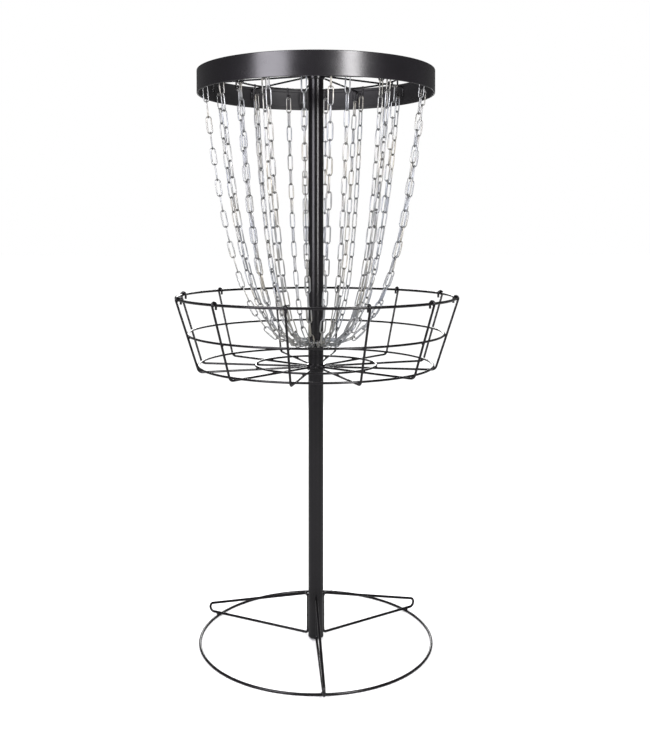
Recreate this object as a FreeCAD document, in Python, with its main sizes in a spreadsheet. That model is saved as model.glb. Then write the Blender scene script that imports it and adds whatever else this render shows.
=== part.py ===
import FreeCAD, Part
import math
import os
import Sketcher

# A free-standing disc golf basket.  A round base with three bent legs carries a steel pole in two
# lengths.  The wire basket's hub sits between the two lengths of pole, around a coupler that is
# fixed in the lower one.  The upper length carries a spoked top frame with a sheet steel band,
# and chains that hang from hooks on that frame and meet in a small ring around the pole.
# Millimetres, +Z up, the origin on the pole's axis at the ground.

doc = FreeCAD.newDocument("disc_golf_basket")
sheet = doc.addObject("Spreadsheet::Sheet", "sizes")

driving_dimensions = [
    ("base_radius", 267.0, "base ring, to the middle of its wire"),
    ("leg_wire", 6.0, "wire of the base ring and the legs"),
    ("leg_reach", 281.0, "axis to the middle of a leg's outer bend"),
    ("leg_bend", 10.5, "radius of a leg's outer bend"),
    ("leg_rise", 102.0, "height where a leg's upper run meets the pole"),
    ("leg_corner", 7.0, "radius of a leg's two bends beside the pole"),
    ("leg_butt", 50.0, "height where a leg's two ends meet beside the pole"),
    ("butt_gap", 0.1, "gap between those two ends"),
    ("pole_diameter", 35.0, "outside of both lengths of pole"),
    ("pole_wall", 1.5, "wall of the pole"),
    ("pole_foot", 6.5, "height of the pole's lower end"),
    ("plug_flange", 2.0, "thickness of the flange on the end plugs"),
    ("plug_depth", 14.0, "length of an end plug inside the pole"),
    ("plug_play", 0.2, "an end plug's stem is this much narrower than the pole's bore"),
    ("plug_gap", 0.02, "gap between an end plug's flange and the pole"),
    ("coupler_diameter", 31.88, "outside of the coupler, a slip fit in the pole"),
    ("coupler_wall", 3.0, "wall of the coupler"),
    ("coupler_depth", 68.0, "coupler inside the lower pole"),
    ("coupler_rise", 72.0, "coupler above the lower pole"),
    ("hub_diameter", 42.0, "outside of both hubs"),
    ("hub_height", 11.8, "thickness of the basket's hub"),
    ("hub_base", 628.7, "height of the underside of the basket's hub"),
    ("hub_play", 0.12, "the basket hub's bore is this much wider than the coupler"),
    ("seat_gap", 0.1, "gap where one piece rests on another"),
    ("weld_gap", 0.02, "gap at a weld between round wires"),
    ("rib_wire", 5.0, "wire of the ribs and the lower basket rings"),
    ("rim_wire", 6.0, "wire of the basket's rim"),
    ("rim_radius", 319.5, "basket's rim"),
    ("rim_height", 796.4, "height of the rim"),
    ("middle_height", 713.7, "height of the basket's middle ring"),
    ("floor_height", 634.7, "height of the ribs across the basket's floor"),
    ("floor_radius", 274.0, "corner between the basket's floor and side"),
    ("floor_bend", 12.0, "radius of the ribs' bend at that corner"),
    ("floor_ring_radius", 139.4, "ring in the middle of the basket's floor"),
    ("rib_tail", 10.0, "end of a rib, down inside the rim"),
    ("rib_turn", 16.0, "azimuth of the first rib"),
    ("rib_count", 12, "ribs in the basket"),
    ("band_radius", 271.5, "outside of the band"),
    ("band_base", 1258.6, "height of the band's lower edge"),
    ("band_height", 52.4, "height of the band"),
    ("band_wall", 1.5, "sheet of the band"),
    ("band_hem", 6.0, "depth of the band's folded edges"),
    ("top_wire", 4.5, "wire of the top ring and the spokes"),
    ("top_ring_radius", 191.0, "ring under the spokes"),
    ("top_ring_height", 1299.7, "height of that ring"),
    ("top_hub_base", 1296.0, "height of the underside of the top hub"),
    ("top_hub_height", 12.0, "thickness of the top hub"),
    ("top_hub_play", 0.1, "the top hub's bore is this much wider than the pole"),
    ("spoke_bend", 7.0, "radius of a spoke's bend at the band"),
    ("spoke_tail", 24.0, "end of a spoke, down the inside of the band"),
    ("spoke_count", 12, "spokes in the top frame"),
    ("spoke_turn", 3.7, "azimuth of the first spoke"),
    ("hook_wire", 4.0, "wire of the chain hooks"),
    ("hook_foot", 1274.0, "height of the middle of a hook's lowest wire"),
    ("hook_tip", 10.0, "height of a hook's tip above its lowest wire"),
    ("outer_hook_radius", 253.0, "outer hooks, from the axis"),
    ("inner_hook_bend", 6.0, "radius of an inner hook's bend"),
    ("chain_wire", 2.8, "wire of a chain link"),
    ("chain_pitch", 36.0, "inside length of a chain link"),
    ("chain_width", 13.4, "outside width of a chain link"),
    ("chain_slack", 0.1, "slack at each end of a link"),
    ("chain_gap", 0.3, "slack at the hook and at the chain ring"),
    ("outer_links", 19, "links in an outer chain"),
    ("inner_links", 18, "links in an inner chain"),
    ("chain_ring_radius", 23.0, "ring that gathers the chains"),
    ("chain_ring_wire", 3.5, "wire of that ring"),
    ("chain_ring_height", 692.0, "height of that ring"),
]
nodes = []
aliases = []


def addSize(alias, value, note):
    aliases.append(alias)
    row = len(aliases)
    sheet.set("A%d" % row, alias)
    sheet.set("B%d" % row, str(value))
    sheet.set("C%d" % row, note)
    sheet.setAlias("B%d" % row, alias)


def size(alias):
    return float(sheet.get(alias))


for alias, value, note in driving_dimensions:
    addSize(alias, value, note)
doc.recompute()


def bind(thing, **expressions):
    for name, expression in expressions.items():
        thing.setExpression(name.replace("__", "."), expression)


def keep(thing, label):
    thing.Label = label
    nodes.append(thing)
    return thing


# Round rings and tubes

def addRing(label, radius, wire, height):
    ring = doc.addObject("Part::Torus", label)
    bind(ring, Radius1=radius, Radius2="(%s) / 2" % wire, Placement__Base__z=height)
    return keep(ring, label)


def addCylinder(label, diameter, base, height):
    cylinder = doc.addObject("Part::Cylinder", label)
    bind(cylinder, Radius="(%s) / 2" % diameter, Height=height, Placement__Base__z=base)
    return cylinder


def addTube(label, outside, inside, base, height):
    tube = doc.addObject("Part::Cut", label)
    tube.Base = addCylinder(label + "_outside", outside, base, height)
    tube.Tool = addCylinder(label + "_inside", inside, base, height)
    return keep(tube, label)


# Sketches in a body's own planes

def addSketch(body, name, plane, offset=0.0):
    sketch = body.newObject("Sketcher::SketchObject", body.Name + "_" + name)
    planes = [f for f in body.Origin.OriginFeatures if f.Role == plane]
    sketch.AttachmentSupport = [(planes[0], "")]
    sketch.MapMode = "FlatFace"
    sketch.AttachmentOffset.Base = FreeCAD.Vector(0, 0, offset)
    return sketch


def line(start, end):
    return Part.LineSegment(FreeCAD.Vector(*start, 0), FreeCAD.Vector(*end, 0))


def arc(centre, radius, first, last):
    points = []
    for angle in (first, (first + last) / 2, last):
        across = centre[0] + radius * math.cos(angle)
        up = centre[1] + radius * math.sin(angle)
        points.append(FreeCAD.Vector(across, up, 0))
    return Part.ArcOfCircle(*points)


def onArc(centre, radius, angle):
    return (centre[0] + radius * math.cos(angle), centre[1] + radius * math.sin(angle))


def addWire(label, wire, route, routePlane, routeOffset, startPlane, startOffset, start):
    """A round wire bent along a flat route, which starts square to startPlane."""
    body = doc.addObject("PartDesign::Body", label)
    path = addSketch(body, "route", routePlane, routeOffset)
    path.addGeometry(route, False)
    section = addSketch(body, "section", startPlane, startOffset)
    centre = FreeCAD.Vector(*start, 0)
    section.addGeometry(Part.Circle(centre, FreeCAD.Vector(0, 0, 1), size(wire) / 2), False)
    section.addConstraint(Sketcher.Constraint("Diameter", 0, size(wire)))
    section.renameConstraint(0, "wire")
    section.setExpression("Constraints.wire", "sizes." + wire)
    pipe = body.newObject("PartDesign::AdditivePipe", label + "_pipe")
    pipe.Profile = section
    pipe.Spine = path
    body.Tip = pipe
    return body


def turn(body, azimuth):
    body.Placement = FreeCAD.Placement(FreeCAD.Vector(), FreeCAD.Rotation(azimuth, 0, 0))


def patternRound(body, count):
    axis = [f for f in body.Origin.OriginFeatures if f.Role == "Z_Axis"][0]
    pattern = body.newObject("PartDesign::PolarPattern", body.Name + "_pattern")
    pattern.Originals = [body.Tip]
    pattern.Axis = (axis, [""])
    pattern.Angle = 360
    bind(pattern, Occurrences="sizes." + count)
    body.Tip = pattern


# Base: a ring on the ground and three legs that lie on it and stand against the pole

addRing("base_ring", "sizes.base_radius", "sizes.leg_wire", "sizes.leg_wire / 2")

leg_foot = 1.5 * size("leg_wire") + size("weld_gap")
leg_back = (size("pole_diameter") + size("leg_wire")) / 2 + size("weld_gap")
leg_upper_end = size("leg_butt") + size("butt_gap") / 2
leg_lower_end = size("leg_butt") - size("butt_gap") / 2


def legRoute():
    bend = size("leg_bend")
    corner = size("leg_corner")
    middle = (size("leg_reach"), leg_foot + bend)
    top = (leg_back, size("leg_rise"))
    far = math.hypot(middle[0] - top[0], middle[1] - top[1])
    slope = math.atan2(middle[1] - top[1], middle[0] - top[0]) + math.asin(bend / far)
    run = math.sqrt(far ** 2 - bend ** 2)
    outer = (top[0] + run * math.cos(slope), top[1] + run * math.sin(slope))
    reach = corner / math.tan((math.pi / 2 + slope) / 2)
    upper = (top[0] + corner, top[1] - reach)
    lower = (leg_back + corner, leg_foot + corner)
    leaving = onArc(upper, corner, slope + math.pi / 2)
    return [
        line((leg_back, leg_upper_end), (leg_back, upper[1])),
        arc(upper, corner, math.pi, slope + math.pi / 2),
        line(leaving, outer),
        arc(middle, bend, slope + math.pi / 2, -math.pi / 2),
        line((middle[0], leg_foot), (lower[0], leg_foot)),
        arc(lower, corner, -math.pi / 2, -math.pi),
        line((leg_back, lower[1]), (leg_back, leg_lower_end)),
    ]


for name, azimuth in (("front_leg", -90), ("right_leg", 30), ("left_leg", 150)):
    leg = addWire(name, "leg_wire", legRoute(), "XZ_Plane", 0,
                  "XY_Plane", leg_upper_end, (leg_back, 0))
    turn(leg, azimuth)
    keep(leg, name)


# Pole, its coupler and its two end plugs

bore = "sizes.pole_diameter - 2 * sizes.pole_wall"
lower_top = "sizes.hub_base - sizes.seat_gap"
upper_base = "sizes.hub_base + sizes.hub_height + sizes.seat_gap"
upper_top = "sizes.top_hub_base + sizes.top_hub_height"
addTube("lower_pole", "sizes.pole_diameter", bore, "sizes.pole_foot", lower_top + " - sizes.pole_foot")
addTube("pole_coupler", "sizes.coupler_diameter", "sizes.coupler_diameter - 2 * sizes.coupler_wall",
        lower_top + " - sizes.coupler_depth", "sizes.coupler_depth + sizes.coupler_rise")
addTube("upper_pole", "sizes.pole_diameter", bore, upper_base, "%s - (%s)" % (upper_top, upper_base))


def addPlug(label, flangeBase, stemBase):
    """A stem inside the pole under a flange whose outer edge is rounded."""
    tolerance = 0.01
    plug = doc.addObject("Part::Fuse", label + "_square")
    plug.Base = addCylinder(label + "_flange", "sizes.pole_diameter", flangeBase, "sizes.plug_flange")
    plug.Tool = addCylinder(label + "_stem", bore + " - sizes.plug_play", stemBase, "sizes.plug_depth")
    plug.Refine = True
    rounded = doc.addObject("Part::Fillet", label)
    doc.recompute()
    height = plug.Shape.BoundBox.Center.z
    edges = []
    for number, edge in enumerate(plug.Shape.Edges, start=1):
        flange = abs(edge.BoundBox.XLength - size("pole_diameter")) < tolerance
        away = abs(edge.BoundBox.ZMin - height) > size("plug_depth") / 2
        if flange and away and edge.BoundBox.ZLength < tolerance:
            edges.append((number, size("plug_flange") / 2, size("plug_flange") / 2))
    rounded.Base = plug
    rounded.Edges = edges
    return keep(rounded, label)


foot_seat = "sizes.pole_foot - sizes.plug_gap"
cap_seat = upper_top + " + sizes.plug_gap"
addPlug("foot_plug", foot_seat + " - sizes.plug_flange", foot_seat)
addPlug("top_cap", cap_seat, cap_seat + " - sizes.plug_depth")


# Basket: a hub, ribs that run over its floor and up its side, and rings that they are welded to

addTube("basket_hub", "sizes.hub_diameter", "sizes.coupler_diameter + sizes.hub_play",
        "sizes.hub_base", "sizes.hub_height")

rib_lap = size("rib_wire") + size("weld_gap")
rim_lap = (size("rib_wire") + size("rim_wire")) / 2 + size("weld_gap")
rib_start = size("hub_diameter") / 2 + size("weld_gap")
rim = (size("rim_radius"), size("rim_height"))
corner = (size("floor_radius"), size("floor_height"))
corner_to_rim = math.hypot(rim[0] - corner[0], rim[1] - corner[1])
side_slope = math.atan2(rim[1] - corner[1], rim[0] - corner[0]) - math.asin(rim_lap / corner_to_rim)
bend_reach = size("floor_bend") * math.tan(side_slope / 2)
bend_middle = (corner[0] - bend_reach, corner[1] + size("floor_bend"))


def ribRoute():
    bend = size("floor_bend")
    inside = (rim[0] - rim_lap, rim[1])
    return [
        line((rib_start, corner[1]), (bend_middle[0], corner[1])),
        arc(bend_middle, bend, -math.pi / 2, side_slope - math.pi / 2),
        line(onArc(bend_middle, bend, side_slope - math.pi / 2),
             onArc(rim, rim_lap, side_slope - math.pi / 2)),
        arc(rim, rim_lap, side_slope - math.pi / 2, math.pi),
        line(inside, (inside[0], inside[1] - size("rib_tail"))),
    ]


for number in range(int(size("rib_count"))):
    name = "basket_rib_%02d" % (number + 1)
    rib = addWire(name, "rib_wire", ribRoute(), "XZ_Plane", 0,
                  "YZ_Plane", rib_start, (0, corner[1]))
    turn(rib, size("rib_turn") + number * 360 / size("rib_count"))
    keep(rib, name)

middle_radius = (corner[0] + (size("middle_height") - corner[1]) / math.tan(side_slope)
                 - rib_lap / math.sin(side_slope))
bottom_ring = onArc(bend_middle, size("floor_bend") - rib_lap, side_slope / 2 - math.pi / 2)
addSize("middle_radius", round(middle_radius, 4), "middle ring, against the inside of the ribs")
addSize("bottom_radius", round(bottom_ring[0], 4), "bottom ring, in the ribs' bend")
addSize("bottom_height", round(bottom_ring[1], 4), "height of the bottom ring")
doc.recompute()
addRing("basket_rim", "sizes.rim_radius", "sizes.rim_wire", "sizes.rim_height")
addRing("basket_middle_ring", "sizes.middle_radius", "sizes.rib_wire", "sizes.middle_height")
addRing("basket_bottom_ring", "sizes.bottom_radius", "sizes.rib_wire", "sizes.bottom_height")
addRing("basket_floor_ring", "sizes.floor_ring_radius", "sizes.rib_wire",
        "sizes.floor_height + sizes.rib_wire + sizes.weld_gap")


# Top frame: a hub on the pole, spokes out to the band, a ring under them, and the chain hooks

addTube("top_hub", "sizes.hub_diameter", "sizes.pole_diameter + sizes.top_hub_play",
        "sizes.top_hub_base", "sizes.top_hub_height")
addRing("top_ring", "sizes.top_ring_radius", "sizes.top_wire", "sizes.top_ring_height")

spoke_height = size("top_ring_height") + size("top_wire") + size("weld_gap")
band_inside = size("band_radius") - size("band_wall")
spoke_end = band_inside - size("top_wire") / 2 - size("weld_gap")


def spokeRoute():
    bend = size("spoke_bend")
    middle = (spoke_end - bend, spoke_height - bend)
    return [
        line((rib_start, spoke_height), (middle[0], spoke_height)),
        arc(middle, bend, math.pi / 2, 0),
        line((spoke_end, middle[1]), (spoke_end, spoke_height - size("spoke_tail"))),
    ]


spokes = addWire("top_spokes", "top_wire", spokeRoute(), "XZ_Plane", 0,
                 "YZ_Plane", rib_start, (0, spoke_height))
patternRound(spokes, "spoke_count")
turn(spokes, size("spoke_turn"))
keep(spokes, "top_spokes")

hook_lap = (size("top_wire") + size("hook_wire")) / 2 + size("weld_gap")
hook_top = spoke_height + size("top_wire") / 2
inner_shank = size("top_ring_radius") - hook_lap


def hookRoute(shank, bend, top):
    """A shank down from the top, a half turn towards the lower side, and an upturned tip."""
    foot = size("hook_foot")
    middle = (shank - bend, foot + bend)
    return [
        line((shank, top), (shank, middle[1])),
        arc(middle, bend, 0, -math.pi),
        line((shank - 2 * bend, middle[1]), (shank - 2 * bend, foot + size("hook_tip"))),
    ]


inner_top = size("top_ring_height") + size("top_wire") / 2
inner = addWire("inner_hooks", "hook_wire", hookRoute(inner_shank, size("inner_hook_bend"), inner_top),
                "XZ_Plane", 0, "XY_Plane", inner_top, (inner_shank, 0))
patternRound(inner, "spoke_count")
turn(inner, size("spoke_turn") + 180 / size("spoke_count"))
keep(inner, "inner_hooks")

outer = addWire("outer_hooks", "hook_wire", hookRoute(hook_lap, hook_lap, hook_top),
                "YZ_Plane", size("outer_hook_radius"),
                "XY_Plane", hook_top, (size("outer_hook_radius"), hook_lap))
patternRound(outer, "spoke_count")
turn(outer, size("spoke_turn"))
keep(outer, "outer_hooks")


# Band: one strip of sheet with both edges folded in and rounded

def bandProfile():
    outside = size("band_radius")
    wall = size("band_wall")
    hem = size("band_hem")
    low = size("band_base")
    high = low + size("band_height")
    folded = outside - 2 * wall
    inside = outside - wall
    return [
        arc((inside, low + wall), wall, -math.pi, 0),
        line((outside, low + wall), (outside, high - wall)),
        arc((inside, high - wall), wall, 0, math.pi),
        line((folded, high - wall), (folded, high - hem)),
        line((folded, high - hem), (inside, high - hem - wall)),
        line((inside, high - hem - wall), (inside, low + hem + wall)),
        line((inside, low + hem + wall), (folded, low + hem)),
        line((folded, low + hem), (folded, low + wall)),
    ]


band = doc.addObject("PartDesign::Body", "band")
profile = addSketch(band, "profile", "XZ_Plane")
profile.addGeometry(bandProfile(), False)
rolled = band.newObject("PartDesign::Revolution", "band_rolled")
rolled.Profile = profile
rolled.ReferenceAxis = (profile, ["V_Axis"])
rolled.Angle = 360
keep(band, "band")


# Chains: welded straight links, each turned a quarter from the last, hanging as a catenary

link_end = (size("chain_width") - size("chain_wire")) / 2
link_half = (size("chain_pitch") + size("chain_wire")) / 2


def addLink():
    """One link about the origin, its length along X and its loop flat in the XY plane."""
    straight = 2 * (link_half - link_end)
    pieces = []
    for side in (-1, 1):
        end = doc.addObject("Part::Torus", "link_end")
        bind(end, Radius1="(sizes.chain_width - sizes.chain_wire) / 2", Radius2="sizes.chain_wire / 2")
        end.Angle3 = 180
        place = FreeCAD.Vector(side * straight / 2, 0, 0)
        end.Placement = FreeCAD.Placement(place, FreeCAD.Rotation(-90 * side, 0, 0))
        rod = doc.addObject("Part::Cylinder", "link_side")
        bind(rod, Radius="sizes.chain_wire / 2")
        rod.Height = straight
        place = FreeCAD.Vector(-straight / 2, side * link_end, 0)
        rod.Placement = FreeCAD.Placement(place, FreeCAD.Rotation(FreeCAD.Vector(0, 1, 0), 90))
        pieces.extend([end, rod])
    whole = doc.addObject("Part::MultiFuse", "chain_link")
    whole.Shapes = pieces
    whole.Refine = True
    doc.recompute()
    return whole


def hang(top, foot, spans):
    """The slope of each span, the highest first, of a chain that hangs from foot up to top.

    Every link weighs the same, so the slope's tangent grows by one step from span to span: for
    the nth span above the foot it is (n - 0.5 - lift) / pull, where lift and pull are the load
    at the foot in link weights.  Newton's method finds the two that make the spans just reach.
    """
    pull = 2.0
    lift = 0.3
    largest_step = 0.3
    close_enough = 1e-6
    for attempt in range(60):
        slopes = [(len(spans) - number - 0.5 - lift) / pull for number in range(len(spans))]
        terms = [(span / math.hypot(1, slope), slope) for span, slope in zip(spans, slopes)]
        across = top[0] - foot[0] - sum(reach for reach, slope in terms)
        up = top[1] - foot[1] - sum(reach * slope for reach, slope in terms)
        bends = [(reach / (1 + slope ** 2), slope) for reach, slope in terms]
        even = sum(bend for bend, slope in bends)
        tilt = sum(bend * slope for bend, slope in bends)
        square = sum(bend * slope ** 2 for bend, slope in bends)
        whole = tilt ** 2 - square * even
        pull_step = pull * (-even * across - tilt * up) / whole
        lift_step = pull * (square * up + tilt * across) / whole
        pull += max(-largest_step, min(largest_step, pull_step))
        lift += max(-largest_step, min(largest_step, lift_step))
    if abs(across) + abs(up) > close_enough:
        raise RuntimeError("a chain doesn't reach from its hook to the ring")
    return [math.atan(slope) for slope in slopes]


def linkSpans(count, firstFlat):
    """For each link, the lengths from its middle to its two pivots, and whether it faces the pole.

    A link that stands in the chain's own plane turns about the middles of its round ends, and
    the links between, whose loops face the pole, reach to those same points.
    """
    reach = link_half - link_end
    spans = []
    for number in range(count):
        flat = (number % 2 == 0) == firstFlat
        half = size("chain_pitch") - reach if flat else reach
        spans.append([half - size("chain_slack"), half - size("chain_slack"), flat])
    inner_end = link_half - size("chain_wire") / 2 - size("chain_gap")
    spans[0][0] = inner_end - size("hook_wire") / 2
    spans[-1][1] = inner_end - size("chain_ring_wire") / 2
    return spans


def chainShape(link, azimuth, top, count, firstFlat):
    spans = linkSpans(count, firstFlat)
    foot = (size("chain_ring_radius"), size("chain_ring_height"))
    slopes = hang(top, foot, [before + after for before, after, flat in spans])
    outward = FreeCAD.Vector(math.cos(azimuth), math.sin(azimuth), 0)
    tangent = FreeCAD.Vector(-math.sin(azimuth), math.cos(azimuth), 0)
    upward = FreeCAD.Vector(0, 0, 1)
    pivot = outward * top[0] + upward * top[1]
    links = []
    for (before, after, flat), slope in zip(spans, slopes):
        along = outward * math.cos(slope) + upward * math.sin(slope)
        middle = pivot - along * before
        pivot = middle - along * after
        side = tangent if flat else tangent.cross(along)
        face = along.cross(side)
        place = FreeCAD.Matrix(along.x, side.x, face.x, middle.x,
                               along.y, side.y, face.y, middle.y,
                               along.z, side.z, face.z, middle.z,
                               0, 0, 0, 1)
        links.append(link.Shape.transformed(place, True))
    return Part.makeCompound(links)


link = addLink()
spoke_step = 2 * math.pi / size("spoke_count")
families = [
    ("outer_chain", size("outer_hook_radius"), size("outer_links"), 0.0, False),
    ("inner_chain", inner_shank - size("inner_hook_bend"), size("inner_links"), 0.5, True),
]
for family, radius, count, shift, first_flat in families:
    for number in range(int(size("spoke_count"))):
        azimuth = math.radians(size("spoke_turn")) + (number + shift) * spoke_step
        chain = doc.addObject("Part::Feature", "%s_%02d" % (family, number + 1))
        chain.Shape = chainShape(link, azimuth, (radius, size("hook_foot")), int(count), first_flat)
        keep(chain, "%s_%02d" % (family, number + 1))

addRing("chain_ring", "sizes.chain_ring_radius", "sizes.chain_ring_wire", "sizes.chain_ring_height")


# Check and write

doc.recompute()
for thing in doc.Objects:
    if "Invalid" in thing.State or "Error" in thing.State:
        raise RuntimeError("%s did not build: %s" % (thing.Label, thing.State))
os.makedirs("parts", exist_ok=True)
for node in nodes:
    if node.Shape.isNull() or not node.Shape.isValid():
        raise RuntimeError("%s has no valid shape" % node.Label)
    node.Shape.exportStep("parts/%s.step" % node.Label)
    solids = node.Shape.Solids
    print("%-20s %3d solids %10.1f mm3" % (node.Label, len(solids), sum(s.Volume for s in solids)))
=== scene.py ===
import math

import bpy
import numpy
from mathutils import Matrix, Vector


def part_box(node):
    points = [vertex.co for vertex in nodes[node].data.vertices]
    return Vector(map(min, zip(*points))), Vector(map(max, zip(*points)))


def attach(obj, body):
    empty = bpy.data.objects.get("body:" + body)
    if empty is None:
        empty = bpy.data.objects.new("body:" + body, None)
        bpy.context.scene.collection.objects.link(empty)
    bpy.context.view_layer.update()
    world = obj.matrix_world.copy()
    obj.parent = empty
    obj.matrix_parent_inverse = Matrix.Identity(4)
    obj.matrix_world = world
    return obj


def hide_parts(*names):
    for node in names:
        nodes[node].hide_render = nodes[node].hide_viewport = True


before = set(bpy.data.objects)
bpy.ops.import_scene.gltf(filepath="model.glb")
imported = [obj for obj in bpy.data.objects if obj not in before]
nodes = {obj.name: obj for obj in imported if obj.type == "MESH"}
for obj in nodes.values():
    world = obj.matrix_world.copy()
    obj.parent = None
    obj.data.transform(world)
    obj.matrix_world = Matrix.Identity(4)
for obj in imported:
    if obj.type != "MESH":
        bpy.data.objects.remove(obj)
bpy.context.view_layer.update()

# A disc golf basket: powder coated wire and tube, with zinc plated chains.
# Metres, +Z up, the pole's axis at x = y = 0 and the ground at z = 0.

up = Vector((0, 0, 1))
print("frame loaded:", len(nodes), "nodes")


# Small helpers

def clearSelection():
    bpy.ops.object.select_all(action="DESELECT")


def outwardAt(azimuth):
    return Vector((math.cos(azimuth), math.sin(azimuth), 0))


def tangentAt(azimuth):
    return Vector((-math.sin(azimuth), math.cos(azimuth), 0))


def azimuthOf(node):
    # every chain and rib lies in one upright plane through the pole
    points = [v.co for v in nodes[node].data.vertices]
    return math.atan2(sum(p.y for p in points), sum(p.x for p in points))


def ringOf(node):
    # middle radius, height and wire radius of a ring
    low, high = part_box(node)
    wire = (high.z - low.z) / 2
    return (high.x - low.x) / 2 - wire, (high.z + low.z) / 2, wire


def placeBy(along, side, place):
    # turns a piece so that its X lies along and its Y lies to the side
    along = along.normalized()
    side = (side - along * side.dot(along)).normalized()
    face = along.cross(side)
    turned = Matrix((along, side, face)).transposed().to_4x4()
    return Matrix.Translation(place) @ turned


def copyOf(model, name, matrix):
    piece = model.copy()
    piece.data = model.data.copy()
    piece.name = name
    piece.data.transform(matrix)
    bpy.context.scene.collection.objects.link(piece)
    return piece


def joinAll(pieces, name):
    clearSelection()
    for piece in pieces:
        piece.select_set(True)
    bpy.context.view_layer.objects.active = pieces[0]
    bpy.ops.object.join()
    joined = bpy.context.object
    joined.name = name
    joined.data.name = name
    return joined


def setMaterial(piece, material):
    piece.data.materials.clear()
    piece.data.materials.append(material)


# Finishes

def startMaterial(name):
    material = bpy.data.materials.new(name)
    material.use_nodes = True
    tree = material.node_tree
    shader = tree.nodes["Principled BSDF"]
    place = tree.nodes.new("ShaderNodeTexCoord")
    return material, tree, shader, place.outputs["Object"]


def addNoise(tree, place, scale, detail, rough=0.55):
    noise = tree.nodes.new("ShaderNodeTexNoise")
    noise.inputs["Scale"].default_value = scale
    noise.inputs["Detail"].default_value = detail
    noise.inputs["Roughness"].default_value = rough
    tree.links.new(place, noise.inputs["Vector"])
    return noise.outputs["Fac"]


def addRange(tree, value, low, high, fromLow=0.3, fromHigh=0.7):
    # most of a noise lies between 0.3 and 0.7
    spread = tree.nodes.new("ShaderNodeMapRange")
    spread.inputs["From Min"].default_value = fromLow
    spread.inputs["From Max"].default_value = fromHigh
    spread.inputs["To Min"].default_value = low
    spread.inputs["To Max"].default_value = high
    tree.links.new(value, spread.inputs["Value"])
    return spread.outputs["Result"]


def addRamp(tree, value, stops):
    ramp = tree.nodes.new("ShaderNodeValToRGB")
    while len(ramp.color_ramp.elements) < len(stops):
        ramp.color_ramp.elements.new(0.5)
    for element, (position, colour) in zip(ramp.color_ramp.elements, stops):
        element.position = position
        element.color = (*colour, 1)
    tree.links.new(value, ramp.inputs["Fac"])
    return ramp.outputs["Color"]


def addBump(tree, shader, layers):
    # layers of height, the coarsest first
    normal = None
    for height, strength, distance in layers:
        bump = tree.nodes.new("ShaderNodeBump")
        bump.inputs["Strength"].default_value = strength
        bump.inputs["Distance"].default_value = distance
        tree.links.new(height, bump.inputs["Height"])
        if normal:
            tree.links.new(normal, bump.inputs["Normal"])
        normal = bump.outputs["Normal"]
    tree.links.new(normal, shader.inputs["Normal"])


def powderCoat(name, values):
    material, tree, shader, place = startMaterial(name)
    tone = addNoise(tree, place, values["toneScale"], detail=5)
    tree.links.new(addRamp(tree, tone, values["tones"]), shader.inputs["Base Color"])
    haze = addNoise(tree, place, values["hazeScale"], detail=6, rough=0.65)
    low, high = values["roughness"]
    tree.links.new(addRange(tree, haze, low, high), shader.inputs["Roughness"])
    peel = addNoise(tree, place, values["peelScale"], detail=2)
    drift = addNoise(tree, place, values["driftScale"], detail=2)
    addBump(tree, shader, [(drift, values["drift"], values["driftHeight"]),
                           (peel, values["peel"], values["peelHeight"])])
    shader.inputs["Specular IOR Level"].default_value = values["specular"]
    return material


wirePowder = {
    "tones": [(0.30, (0.0014, 0.0011, 0.0016)), (0.72, (0.0032, 0.0025, 0.0036))],
    "toneScale": 14.0,
    "roughness": (0.18, 0.25),
    "hazeScale": 70.0,
    "peelScale": 950.0,     # orange peel about a millimetre across
    "peel": 0.35,
    "peelHeight": 0.00012,
    "driftScale": 60.0,
    "drift": 0.10,
    "driftHeight": 0.0006,
    "specular": 0.50,
}

wireCoat = powderCoat("wire_powder_coat", wirePowder)

bandPowder = {
    "tones": [(0.30, (0.0030, 0.0024, 0.0034)), (0.72, (0.0056, 0.0046, 0.0066))],
    "toneScale": 6.0,
    "roughness": (0.23, 0.28),
    "hazeScale": 25.0,
    "peelScale": 800.0,
    "peel": 0.22,
    "peelHeight": 0.00012,
    "driftScale": 9.0,      # the rolled sheet isn't quite round
    "drift": 0.30,
    "driftHeight": 0.0006,
    "specular": 0.80,
    "sheet": 0.0015,        # how thick the band's metal is
    "dryRoughness": 0.58,   # the powder lands thin on the inner face and stays rough
}


def dryInside(material, values):
    # the band's finish changes inside its sheet, between the outer face and the inner one
    tree = material.node_tree
    shader = tree.nodes["Principled BSDF"]
    place = tree.nodes["Texture Coordinate"].outputs["Object"]
    flat = tree.nodes.new("ShaderNodeVectorMath")
    flat.operation = "MULTIPLY"
    flat.inputs[1].default_value = (1, 1, 0)
    tree.links.new(place, flat.inputs[0])
    reach = tree.nodes.new("ShaderNodeVectorMath")
    reach.operation = "LENGTH"
    tree.links.new(flat.outputs["Vector"], reach.inputs[0])
    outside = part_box("band")[1].x
    middle = outside - values["sheet"] / 2
    dry = addRange(tree, reach.outputs["Value"], values["dryRoughness"], 0.0,
                   middle - values["sheet"] / 4, middle + values["sheet"] / 4)
    rougher = tree.nodes.new("ShaderNodeMath")
    rougher.operation = "MAXIMUM"
    tree.links.new(shader.inputs["Roughness"].links[0].from_socket, rougher.inputs[0])
    tree.links.new(dry, rougher.inputs[1])
    tree.links.new(rougher.outputs["Value"], shader.inputs["Roughness"])
    return material


bandCoat = dryInside(powderCoat("band_powder_coat", bandPowder), bandPowder)


def addMix(tree, share, first, second):
    mix = tree.nodes.new("ShaderNodeMix")
    mix.data_type = "RGBA"
    tree.links.new(share, mix.inputs["Factor"])
    tree.links.new(first, mix.inputs["A"])
    if hasattr(second, "links"):
        tree.links.new(second, mix.inputs["B"])
    else:
        mix.inputs["B"].default_value = (*second, 1)
    return mix.outputs["Result"]


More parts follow.
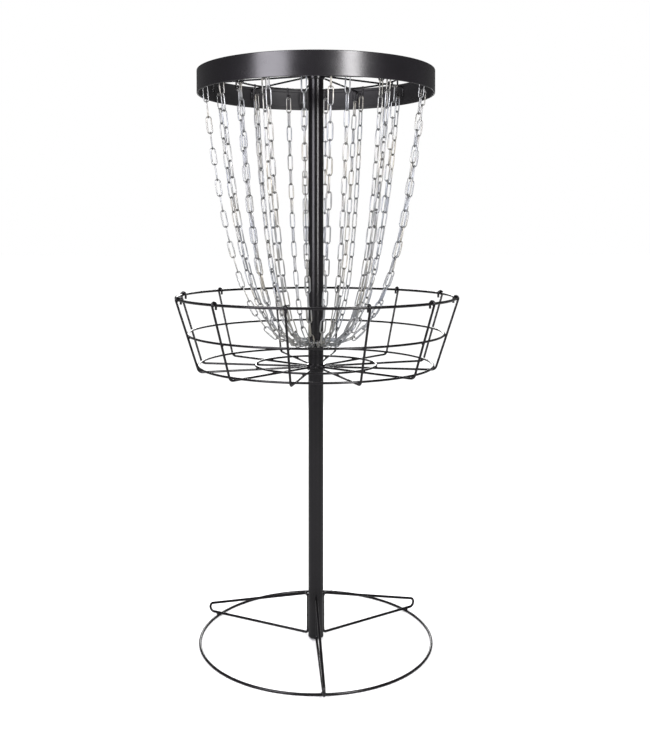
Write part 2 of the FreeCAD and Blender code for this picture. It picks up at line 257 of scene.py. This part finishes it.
hookWear = {
    "below": 0.0035,        # how far up the hook's bend the chain has rubbed
    "fade": 0.0020,
    "steel": (0.30, 0.29, 0.28),
    "shine": 0.85,
    "patchScale": 420.0,
    "patchEdges": (0.35, 0.60),
}


def wornCoat(name, values, wear, lowest):
    # the coat is rubbed through to steel in the bottom of a hook
    material = powderCoat(name, values)
    tree = material.node_tree
    shader = tree.nodes["Principled BSDF"]
    place = tree.nodes["Texture Coordinate"].outputs["Object"]
    apart = tree.nodes.new("ShaderNodeSeparateXYZ")
    tree.links.new(place, apart.inputs["Vector"])
    edge = lowest + wear["below"]
    depth = addRange(tree, apart.outputs["Z"], 1.0, 0.0, edge, edge + wear["fade"])
    patches = addNoise(tree, place, wear["patchScale"], detail=3)
    patch = addRange(tree, patches, 0.0, 1.0, *wear["patchEdges"])
    worn = tree.nodes.new("ShaderNodeMath")
    worn.operation = "MULTIPLY"
    tree.links.new(depth, worn.inputs[0])
    tree.links.new(patch, worn.inputs[1])
    coat = shader.inputs["Base Color"].links[0].from_socket
    colour = addMix(tree, worn.outputs["Value"], coat, wear["steel"])
    tree.links.new(colour, shader.inputs["Base Color"])
    shine = addRange(tree, worn.outputs["Value"], 0.0, wear["shine"], 0.0, 1.0)
    tree.links.new(shine, shader.inputs["Metallic"])
    return material


hookCoat = wornCoat("hook_powder_coat", wirePowder, hookWear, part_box("inner_hooks")[0].z)


def bareMetal(name, values):
    material, tree, shader, place = startMaterial(name)
    tone = addNoise(tree, place, values["toneScale"], detail=4, rough=0.5)
    colour = addRamp(tree, tone, values["tones"])
    if "paintedContactShade" in values:
        # painted shade: links are darkened where they bear on each other, standing in for the shade in
        # their contacts
        shadeMask = tree.nodes.new("ShaderNodeAttribute")
        shadeMask.attribute_name = "paintedContactShade"
        colour = addMix(tree, shadeMask.outputs["Fac"], colour, values["paintedContactShade"])
    tree.links.new(colour, shader.inputs["Base Color"])
    haze = addNoise(tree, place, values["hazeScale"], detail=4, rough=0.6)
    low, high = values["roughness"]
    tree.links.new(addRange(tree, haze, low, high), shader.inputs["Roughness"])
    grain = addNoise(tree, place, values["grainScale"], detail=3)
    addBump(tree, shader, [(grain, values["grain"], values["grainHeight"])])
    shader.inputs["Metallic"].default_value = values["metallic"]
    return material


chainZinc = bareMetal("bright_zinc_plate", {
    "tones": [(0.32, (0.43, 0.46, 0.51)), (0.50, (0.52, 0.53, 0.53)), (0.68, (0.59, 0.56, 0.48))],
    "toneScale": 9.0,
    # the colour of the painted shade where links bear on each other
    "paintedContactShade": (0.20, 0.20, 0.20),
    "roughness": (0.34, 0.46),
    "hazeScale": 120.0,
    "grainScale": 900.0,
    "grain": 0.10,
    "grainHeight": 0.00015,
    "metallic": 1.0,
})

couplerSteel = bareMetal("oiled_steel", {
    "tones": [(0.30, (0.20, 0.20, 0.21)), (0.75, (0.38, 0.38, 0.38))],
    "toneScale": 30.0,
    "roughness": (0.28, 0.42),
    "hazeScale": 90.0,
    "grainScale": 700.0,
    "grain": 0.2,
    "grainHeight": 0.00015,
    "metallic": 1.0,
})


def mouldedPlastic(name, values):
    material, tree, shader, place = startMaterial(name)
    tone = addNoise(tree, place, values["toneScale"], detail=4)
    tree.links.new(addRamp(tree, tone, values["tones"]), shader.inputs["Base Color"])
    low, high = values["roughness"]
    grain = addNoise(tree, place, values["grainScale"], detail=3)
    tree.links.new(addRange(tree, grain, low, high), shader.inputs["Roughness"])
    addBump(tree, shader, [(grain, values["grain"], values["grainHeight"])])
    return material


plugPlastic = mouldedPlastic("plug_plastic", {
    "tones": [(0.3, (0.015, 0.015, 0.016)), (0.7, (0.028, 0.028, 0.029))],
    "toneScale": 40.0,
    "roughness": (0.55, 0.72),
    "grainScale": 1400.0,
    "grain": 0.4,
    "grainHeight": 0.00012,
})

plugNodes = ("foot_plug", "top_cap")
for nodeName, node in nodes.items():
    if nodeName in plugNodes:
        setMaterial(node, plugPlastic)
    elif nodeName == "pole_coupler":
        setMaterial(node, couplerSteel)
    elif nodeName == "band":
        setMaterial(node, bandCoat)
    elif nodeName in ("inner_hooks", "outer_hooks"):
        setMaterial(node, hookCoat)
    elif nodeName == "chain_ring":
        setMaterial(node, chainZinc)
    elif "_chain_" not in nodeName:
        setMaterial(node, wireCoat)
print("finishes made")


# Chains: one welded link, copied to where each link of the design lies

chainLink = {
    "length": 0.0416,       # outside
    "width": 0.0134,
    "wire": 0.0028,
    "sides": 6,             # round the wire
    "fullness": 1.05,       # six sides look thinner than a round wire
    "turnSteps": 4,         # round each end
    "weldLength": 0.0040,
    "weldSwell": 1.18,
    "paintedContactShade": 0.0042,       # how far the painted contact shade runs from each end
    "turnedEvery": 3,       # every third link hangs with its weld on the other side
    "count": {"outer_chain": 19, "inner_chain": 18},
    "tolerance": 0.0005,
    "mergeWithin": 0.00002,
    "digits": 7,            # points are told apart to a tenth of a micrometre
}


def addWireRun(step):
    bpy.ops.mesh.extrude_region_move(TRANSFORM_OT_translate={"value": step})


def addWireTurn(centre, steps):
    bpy.ops.mesh.spin(steps=steps, angle=math.pi, center=centre, axis=(0, 0, 1))


def modelLink(values):
    # the loop lies flat in XY with its length along X
    bend = (values["width"] - values["wire"]) / 2
    half = values["length"] / 2 - values["wire"] / 2 - bend
    weld = values["weldLength"] / 2
    wire = values["wire"] / 2 * values["fullness"]
    clearSelection()
    bpy.ops.mesh.primitive_circle_add(vertices=values["sides"], radius=wire,
                                      location=(-half, bend, 0), rotation=(0, math.pi / 2, 0))
    link = bpy.context.object
    bpy.ops.object.transform_apply(location=True, rotation=True, scale=True)
    bpy.ops.object.mode_set(mode="EDIT")
    bpy.ops.mesh.select_all(action="SELECT")
    addWireRun((half - weld, 0, 0))
    addWireRun((2 * weld, 0, 0))
    addWireRun((half - weld, 0, 0))
    addWireTurn((half, 0, 0), values["turnSteps"])
    addWireRun((-2 * half, 0, 0))
    addWireTurn((-half, 0, 0), values["turnSteps"])
    bpy.ops.mesh.select_all(action="SELECT")
    bpy.ops.mesh.remove_doubles(threshold=values["mergeWithin"])
    bpy.ops.mesh.normals_make_consistent(inside=False)
    bpy.ops.mesh.select_all(action="DESELECT")
    bpy.ops.object.mode_set(mode="OBJECT")
    # the two loops of points at the weld stand a weld's half length from the middle
    for vertex in link.data.vertices:
        vertex.select = abs(vertex.co.x) < 1.5 * weld and vertex.co.y > 0
    bpy.ops.object.mode_set(mode="EDIT")
    swell = values["weldSwell"]
    bpy.ops.transform.resize(value=(1, swell, swell), center_override=(0, bend, 0))
    bpy.ops.object.mode_set(mode="OBJECT")
    bpy.ops.object.shade_smooth()
    # painted contact shade: darker towards each end of a link, where it bears on the next
    paintedContactShade = link.data.attributes.new("paintedContactShade", "FLOAT", "POINT")
    for vertex, shadeMask in zip(link.data.vertices, paintedContactShade.data):
        depth = abs(vertex.co.x) - (values["length"] / 2 - values["paintedContactShade"])
        shadeMask.value = max(0.0, min(1.0, depth / values["wire"]))
    setMaterial(link, chainZinc)
    return link


def pointsOf(node):
    mesh = nodes[node].data
    flat = numpy.empty(3 * len(mesh.vertices), dtype=numpy.float32)
    mesh.vertices.foreach_get("co", flat)
    return flat.reshape(-1, 3).astype(float)


def linkPlaces(node, count, values):
    # the links of a chain follow each other in its mesh, each with the same number of points
    points = pointsOf(node)
    if len(points) % count:
        return []
    azimuth = azimuthOf(node)
    outward = outwardAt(azimuth)
    tangent = tangentAt(azimuth)
    places = []
    for link in numpy.split(points, count):
        link = numpy.unique(link.round(values["digits"]), axis=0)
        middle = link.mean(axis=0)
        # the three ways of a link, the thinnest first and the longest last
        ways = numpy.linalg.eigh(numpy.cov((link - middle).T))[1]
        reach = (link - middle) @ ways
        middle = middle + ways @ ((reach.min(axis=0) + reach.max(axis=0)) / 2)
        if abs(numpy.ptp(reach[:, 2]) - values["length"]) > values["tolerance"]:
            return []
        along = Vector(ways[:, 2])
        side = Vector(ways[:, 1])
        if along.dot(outward + up) < 0:
            along.negate()
        if side.dot(outward + tangent) < 0:
            side.negate()
        places.append((Vector(middle), along, side))
    return places


linkModel = modelLink(chainLink)
for nodeName in list(nodes):
    count = chainLink["count"].get(nodeName.rsplit("_", 1)[0])
    if not count:
        continue
    links = []
    for number, (middle, along, side) in enumerate(linkPlaces(nodeName, count, chainLink)):
        weldSide = side if number % chainLink["turnedEvery"] else -side
        links.append(copyOf(linkModel, "link", placeBy(along, weldSide, middle)))
    if not links:
        print("links not told apart, so the plain chain stays:", nodeName)
        setMaterial(nodes[nodeName], chainZinc)
        continue
    chain = joinAll(links, nodeName + "_links")
    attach(chain, nodeName)
    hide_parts(nodeName)
bpy.data.objects.remove(linkModel)
print("chains hung")


# Welds: a small lens of metal where two wires cross, under the same coat

weldBead = {
    "segments": 10,
    "rings": 6,
    "lumps": 0.07,          # unevenness, as a share of the bead's radius
    "evenness": 0.4,
    "shapes": 3,
    "narrower": 0.08,       # from one shape to the next
}


def modelBeads(values):
    beads = []
    for shape in range(values["shapes"]):
        clearSelection()
        bpy.ops.mesh.primitive_uv_sphere_add(segments=values["segments"], ring_count=values["rings"],
                                             radius=1.0)
        bead = bpy.context.object
        bpy.ops.object.mode_set(mode="EDIT")
        bpy.ops.mesh.select_all(action="SELECT")
        bpy.ops.transform.resize(value=(1.0, 1.0 - values["narrower"] * shape, 1.0))
        bpy.ops.transform.vertex_random(offset=values["lumps"], uniform=values["evenness"], seed=shape + 1)
        bpy.ops.object.mode_set(mode="OBJECT")
        bpy.ops.object.shade_smooth()
        setMaterial(bead, wireCoat)
        beads.append(bead)
    return beads


beadModels = modelBeads(weldBead)

collar = {
    "half": 0.0030,         # half its length along the wire
    "swell": 1.10,
}


def beadAt(beads, place, normal, along, size):
    # size: along the first direction, across it, and thickness between the two wires
    length, width, depth = size
    model = beadModels[len(beads) % len(beadModels)]
    shape = Matrix.Diagonal((length, width, depth, 1))
    normal = normal.normalized()
    beads.append(copyOf(model, "bead", placeBy(along, normal.cross(along), place) @ shape))


def collarAt(beads, place, along, wire):
    # a butt weld, dressed nearly flush, where the two ends of a wire meet
    upright = abs(along.normalized().z) >= 0.5
    side = outwardAt(0) if upright else up
    thick = wire * collar["swell"]
    beadAt(beads, place, side, along, (collar["half"], thick, thick))


def ringSeam(beads, ring, degrees, lift=0.0):
    radius, height, wire = ring
    azimuth = math.radians(degrees)
    collarAt(beads, outwardAt(azimuth) * radius + up * (height + lift), tangentAt(azimuth), wire)


def filletRound(radius, height, values):
    # a run of weld round a tube, a little uneven
    clearSelection()
    bpy.ops.mesh.primitive_torus_add(major_radius=radius, minor_radius=values["leg"],
                                     major_segments=values["segments"], minor_segments=values["sides"],
                                     location=(0, 0, height))
    fillet = bpy.context.object
    bpy.ops.object.transform_apply(location=True, rotation=True, scale=True)
    bpy.ops.object.mode_set(mode="EDIT")
    bpy.ops.mesh.select_all(action="SELECT")
    bpy.ops.transform.vertex_random(offset=values["lumps"], uniform=values["evenness"], seed=values["seed"])
    bpy.ops.object.mode_set(mode="OBJECT")
    bpy.ops.object.shade_smooth()
    setMaterial(fillet, wireCoat)
    return fillet


def finishWelds(beads, name, body):
    welds = joinAll(beads, name)
    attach(welds, body)


basketWelds = {
    "crossing": (0.0042, 0.0042, 0.0022),
    "hub": (0.0046, 0.0040, 0.0016),
    "seams": (92.0, 118.0, 64.0, 97.0),
}

ribAzimuths = [azimuthOf(n) for n in sorted(nodes) if n.startswith("basket_rib_")]
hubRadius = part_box("basket_hub")[1].x
rimRadius, rimHeight, rimWire = ringOf("basket_rim")
midRadius, midHeight, midWire = ringOf("basket_middle_ring")
lowRadius, lowHeight, lowWire = ringOf("basket_bottom_ring")
floorRadius, floorHeight, floorWire = ringOf("basket_floor_ring")
sideSlope = math.atan2(rimHeight - midHeight, rimRadius - midRadius)
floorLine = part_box("basket_rib_01")[0].z + lowWire

beads = []
for azimuth in ribAzimuths:
    outward = outwardAt(azimuth)
    tangent = tangentAt(azimuth)
    sideways = outward * math.sin(sideSlope) - up * math.cos(sideSlope)
    cornerWay = outward * math.sin(sideSlope / 2) - up * math.cos(sideSlope / 2)
    for radius, height, wire, way in ((rimRadius, rimHeight, rimWire, sideways),
                                      (midRadius, midHeight, midWire, sideways),
                                      (lowRadius, lowHeight, lowWire, cornerWay),
                                      (floorRadius, floorHeight, floorWire, -up)):
        place = outward * radius + up * height + way * wire
        beadAt(beads, place, way, tangent, basketWelds["crossing"])
    beadAt(beads, outward * hubRadius + up * floorLine, outward, tangent, basketWelds["hub"])
for ring, degrees in zip(("rim", "middle_ring", "bottom_ring", "floor_ring"), basketWelds["seams"]):
    ringSeam(beads, ringOf("basket_" + ring), degrees)
finishWelds(beads, "basket_welds", "basket")

topWelds = {
    "crossing": (0.0038, 0.0038, 0.0020),
    "hub": (0.0042, 0.0038, 0.0016),
    "band": (0.0080, 0.0030, 0.0014),
    "hook": (0.0045, 0.0026, 0.0016),
    "ringSeam": 105.0,
    "bandSeam": 90.0,
    "bandSeamPitch": 0.0034,
    "bandSeamBead": (0.0027, 0.0021, 0.0005),
    "lugShares": (0.35, 0.8),   # where on a spoke's tail it is welded to the band
}

hubFillet = {
    "leg": 0.0016,
    "segments": 72,
    "sides": 8,
    "lumps": 0.0003,
    "evenness": 0.5,
    "seed": 4,
}

spokeAzimuths = [azimuthOf(n) for n in sorted(nodes) if n.startswith("outer_chain_")]
hookAzimuths = [azimuthOf(n) for n in sorted(nodes) if n.startswith("inner_chain_")]
ringRadius, ringHeight, ringWire = ringOf("top_ring")
bandLow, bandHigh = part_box("band")
spokeLow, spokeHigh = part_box("top_spokes")
spokeHeight = spokeHigh.z - ringWire
bandInside = bandHigh.x - bandPowder["sheet"]
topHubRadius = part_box("top_hub")[1].x
outerHookPoints = pointsOf("outer_hooks")
outerHookRadius = float(numpy.hypot(outerHookPoints[:, 0], outerHookPoints[:, 1]).max()) - 2 * ringWire

beads = []
for azimuth in spokeAzimuths:
    outward = outwardAt(azimuth)
    tangent = tangentAt(azimuth)
    beadAt(beads, outward * ringRadius + up * (ringHeight + ringWire), up, tangent, topWelds["crossing"])
    beadAt(beads, outward * topHubRadius + up * spokeHeight, outward, tangent, topWelds["hub"])
    for share in topWelds["lugShares"]:
        height = spokeHeight - share * (spokeHigh.z - spokeLow.z - ringWire)
        beadAt(beads, outward * bandInside + up * height, outward, up, topWelds["band"])
    side = outward * outerHookRadius + tangent * ringWire + up * spokeHeight
    beadAt(beads, side, tangent, outward, topWelds["hook"])
for azimuth in hookAzimuths:
    outward = outwardAt(azimuth)
    beadAt(beads, outward * (ringRadius - ringWire) + up * ringHeight, outward,
           tangentAt(azimuth), topWelds["hook"])
ringSeam(beads, ringOf("top_ring"), topWelds["ringSeam"])
seamOutward = outwardAt(math.radians(topWelds["bandSeam"]))
seamPitch = topWelds["bandSeamPitch"]
seamCount = int((bandHigh.z - bandLow.z) / seamPitch) - 1
for number in range(seamCount):
    height = (bandLow.z + bandHigh.z) / 2 + (number - (seamCount - 1) / 2) * seamPitch
    beadAt(beads, seamOutward * bandHigh.x + up * height, seamOutward, up, topWelds["bandSeamBead"])
beads.append(filletRound(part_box("upper_pole")[1].x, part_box("top_hub")[0].z, hubFillet))
finishWelds(beads, "top_welds", "top")

standWelds = {
    "ring": (0.0062, 0.0050, 0.0024),
    "pole": (0.0075, 0.0034, 0.0018),
    "poleHeights": (0.022, 0.038, 0.076, 0.090),
    "legButt": 0.050,
    "ringSeam": 78.0,
    "seamLift": 0.0006,     # dressed flat where the ring rests on the ground
}

baseRadius, baseHeight, baseWire = ringOf("base_ring")
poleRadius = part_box("lower_pole")[1].x
beads = []
for legName in ("front_leg", "right_leg", "left_leg"):
    azimuth = azimuthOf(legName)
    outward = outwardAt(azimuth)
    tangent = tangentAt(azimuth)
    beadAt(beads, outward * baseRadius + up * (baseHeight + baseWire), up, outward, standWelds["ring"])
    for height in standWelds["poleHeights"]:
        beadAt(beads, outward * poleRadius + up * height, outward, up, standWelds["pole"])
    collarAt(beads, outward * (poleRadius + baseWire) + up * standWelds["legButt"], up, baseWire)
ringSeam(beads, ringOf("base_ring"), standWelds["ringSeam"], standWelds["seamLift"])
finishWelds(beads, "stand_welds", "stand")
for bead in beadModels:
    bpy.data.objects.remove(bead)
print("welds laid")


# The studio: a white floor in a white room that glossy surfaces mirror darker than it is seen,
# with two tall soft lights in front, one behind and one above

studio = {
    "floorSize": 60.0,
    "floorColour": (0.95, 0.95, 0.95),
    "floorMirrored": (0.30, 0.30, 0.30),    # how dark the floor is in what glossy surfaces mirror
    "floorRoughness": 0.9,
    "floorGloss": 0.05,
    "roomColour": (1.0, 1.0, 1.0),
    "roomSeen": 1.0,
    "roomGiven": 1.12,      # what dull surfaces receive
    "roomMirrored": 0.13,   # what glossy surfaces mirror
}

clearSelection()
bpy.ops.mesh.primitive_plane_add(size=studio["floorSize"], location=(0, 0, 0))
floor = bpy.context.object
floor.name = "studio_floor"
floorMaterial = bpy.data.materials.new("pale_floor")
floorMaterial.use_nodes = True
floorTree = floorMaterial.node_tree
floorShader = floorTree.nodes["Principled BSDF"]
floorRay = floorTree.nodes.new("ShaderNodeLightPath")
floorTone = floorTree.nodes.new("ShaderNodeMix")
floorTone.data_type = "RGBA"
floorTone.inputs["A"].default_value = (*studio["floorColour"], 1)
floorTone.inputs["B"].default_value = (*studio["floorMirrored"], 1)
floorTree.links.new(floorRay.outputs["Is Glossy Ray"], floorTone.inputs["Factor"])
floorTree.links.new(floorTone.outputs["Result"], floorShader.inputs["Base Color"])
floorShader.inputs["Roughness"].default_value = studio["floorRoughness"]
floorShader.inputs["Specular IOR Level"].default_value = studio["floorGloss"]
floor.data.materials.append(floorMaterial)

room = bpy.data.worlds.new("studio_room")
bpy.context.scene.world = room
room.use_nodes = True
roomTree = room.node_tree
rayKind = roomTree.nodes.new("ShaderNodeLightPath")


def addRoomLight(strength):
    light = roomTree.nodes.new("ShaderNodeBackground")
    light.inputs["Color"].default_value = (*studio["roomColour"], 1)
    light.inputs["Strength"].default_value = strength
    return light.outputs["Background"]


def chooseBy(kind, otherwise, chosen):
    choice = roomTree.nodes.new("ShaderNodeMixShader")
    roomTree.links.new(rayKind.outputs[kind], choice.inputs["Fac"])
    roomTree.links.new(otherwise, choice.inputs[1])
    roomTree.links.new(chosen, choice.inputs[2])
    return choice.outputs["Shader"]


given = addRoomLight(studio["roomGiven"])
mirrored = addRoomLight(studio["roomMirrored"])
seen = addRoomLight(studio["roomSeen"])
roomLight = chooseBy("Is Camera Ray", chooseBy("Is Glossy Ray", given, mirrored), seen)
roomTree.links.new(roomLight, roomTree.nodes["World Output"].inputs["Surface"])

# The camera stands a little to the left of the front leg and looks slightly down

camera = {
    "azimuth": math.radians(-93.3),
    "distance": 2.1133,
    "height": 0.9534,
    "lens": 44.03,          # millimetres, as is the sensor
    "sensor": 36.0,
    "tiltDown": math.radians(1.5),
    "shiftX": 0.0122,
    "shiftY": -0.1634,
}

softLights = [
    # turn is in degrees to the right of the camera
    {"name": "right_softbox", "turn": 31.0, "distance": 2.4, "height": 1.6, "aim": 1.3,
     "wide": 0.60, "tall": 1.7, "power": 46.0, "colour": (1.0, 0.98, 1.0)},
    {"name": "left_softbox", "turn": -39.0, "distance": 2.4, "height": 1.6, "aim": 1.3,
     "wide": 1.25, "tall": 1.7, "power": 46.0, "colour": (0.95, 0.92, 1.0)},
    {"name": "back_softbox", "turn": 180.0, "distance": 2.8, "height": 1.5, "aim": 1.2,
     "wide": 0.90, "tall": 1.7, "power": 40.0, "colour": (1.0, 1.0, 1.0)},
    {"name": "top_softbox", "turn": 0.0, "distance": 0.6, "height": 3.4, "aim": 0.8,
     "wide": 2.6, "tall": 2.6, "power": 20.0, "colour": (1.0, 1.0, 1.0)},
]

for values in softLights:
    light = bpy.data.lights.new(values["name"], "AREA")
    light.shape = "RECTANGLE"
    light.size = values["wide"]
    light.size_y = values["tall"]
    light.energy = values["power"]
    light.color = values["colour"]
    lamp = bpy.data.objects.new(values["name"], light)
    bpy.context.scene.collection.objects.link(lamp)
    around = camera["azimuth"] + math.radians(values["turn"])
    lamp.location = outwardAt(around) * values["distance"] + up * values["height"]
    way = up * values["aim"] - lamp.location
    lamp.rotation_euler = way.to_track_quat("-Z", "Y").to_euler()

eye = bpy.data.cameras.new("camera")
eye.lens = camera["lens"]
eye.sensor_width = camera["sensor"]
eye.shift_x = camera["shiftX"]
eye.shift_y = camera["shiftY"]
eyeObject = bpy.data.objects.new("camera", eye)
bpy.context.scene.collection.objects.link(eyeObject)
eyeObject.location = outwardAt(camera["azimuth"]) * camera["distance"] + up * camera["height"]
eyeObject.rotation_euler = (math.pi / 2 - camera["tiltDown"], 0, camera["azimuth"] + math.pi / 2)
bpy.context.scene.camera = eyeObject
bpy.context.scene.view_settings.view_transform = "Standard"
print("studio set")
